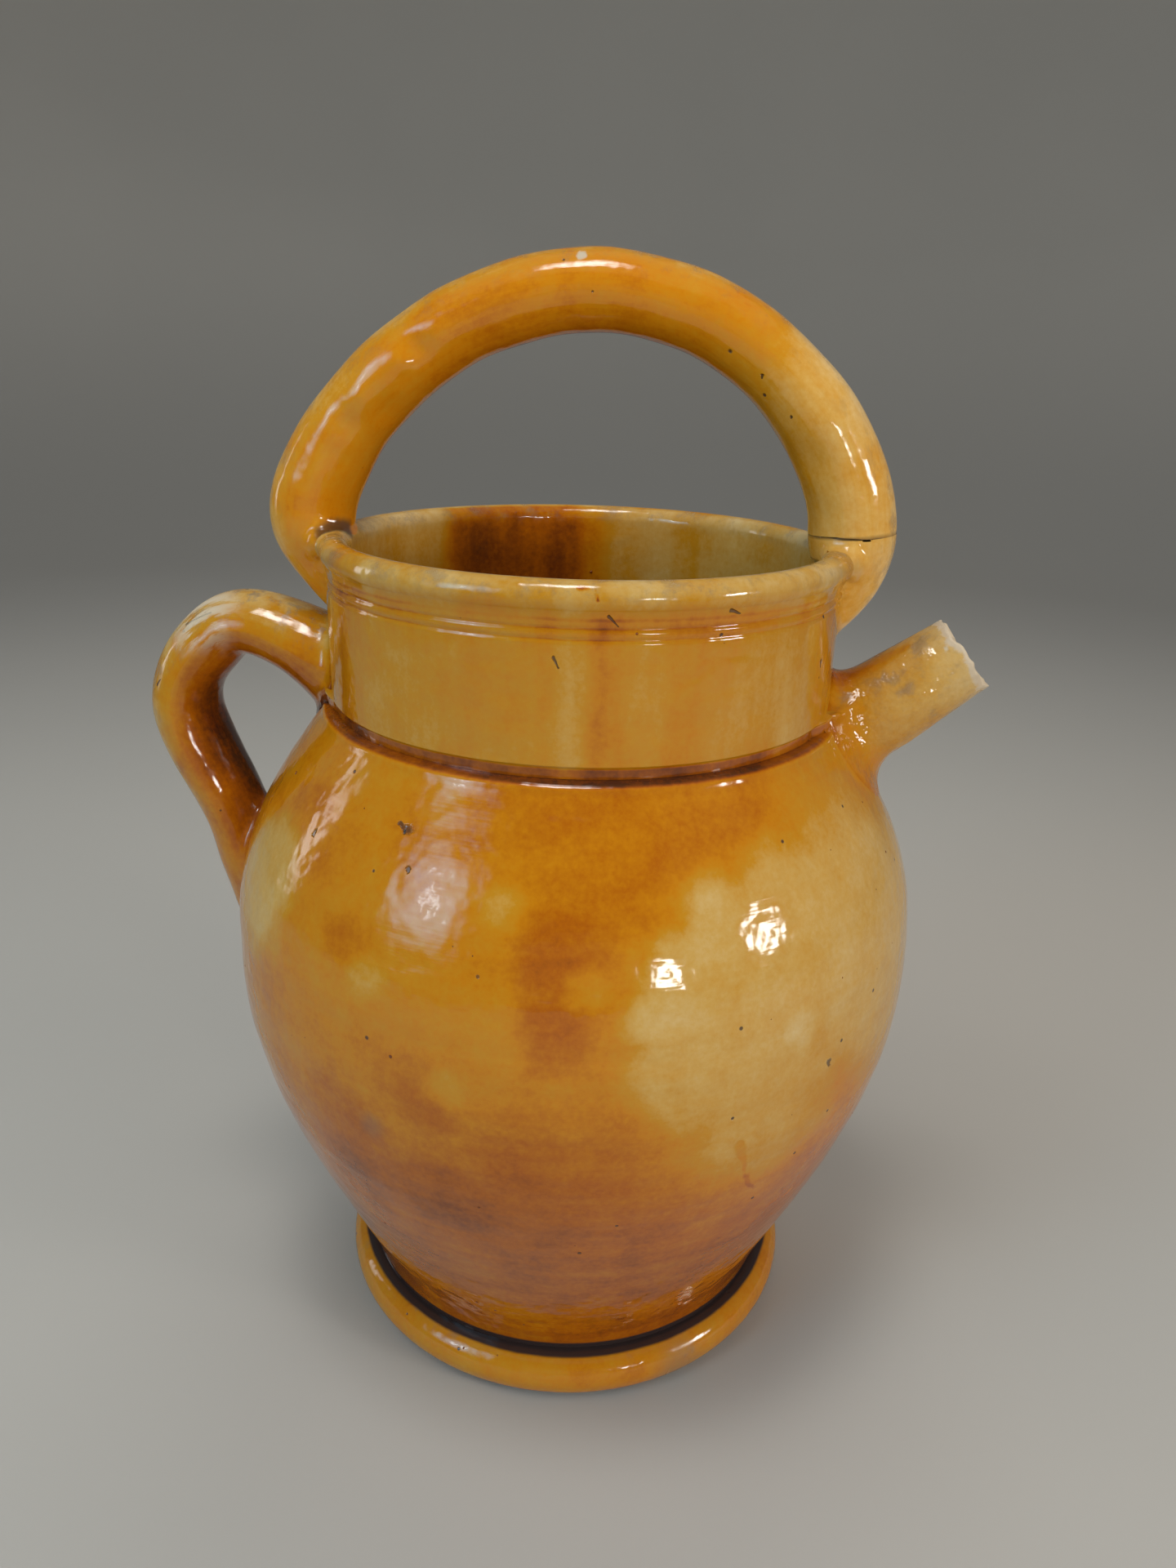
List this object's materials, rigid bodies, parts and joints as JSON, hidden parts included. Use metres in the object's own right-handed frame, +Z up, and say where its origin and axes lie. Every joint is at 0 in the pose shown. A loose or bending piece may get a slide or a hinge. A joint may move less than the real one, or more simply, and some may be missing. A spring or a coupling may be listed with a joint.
{
  "type": "ceramic jug",
  "caption": "Glazed earthenware water jug with a round belly, straight collar, basket handle over the mouth, side handle and a short spout broken at its tip.",
  "frame": {"origin": "centre of the base's flat underside", "axes": "+Z up along the turned axis, +X towards the spout, -X towards the side handle"},
  "size_m": [0.2096, 0.1738, 0.2711],
  "materials": {
    "belly_glaze": "glossy honey-coloured lead glaze, worn on the edges",
    "neck_collar_glaze": "glossy honey-coloured lead glaze, worn on the edges",
    "foot_ring_glaze": "glossy honey-coloured lead glaze, worn on the edges",
    "basket_handle_glaze": "glossy honey-coloured lead glaze, worn on the edges",
    "handle_root_left_glaze": "glossy honey-coloured lead glaze, worn on the edges",
    "handle_root_right_glaze": "glossy honey-coloured lead glaze, worn on the edges",
    "side_handle_glaze": "glossy honey-coloured lead glaze, worn on the edges",
    "spout_glaze": "glossy honey-coloured lead glaze, worn on the edges"
  },
  "bodies": {
    "root": {"belly": "belly_glaze", "neck_collar": "neck_collar_glaze", "foot_ring": "foot_ring_glaze", "basket_handle": "basket_handle_glaze", "handle_root_left": "handle_root_left_glaze", "handle_root_right": "handle_root_right_glaze", "side_handle": "side_handle_glaze", "spout": "spout_glaze"}
  },
  "joints": []
}
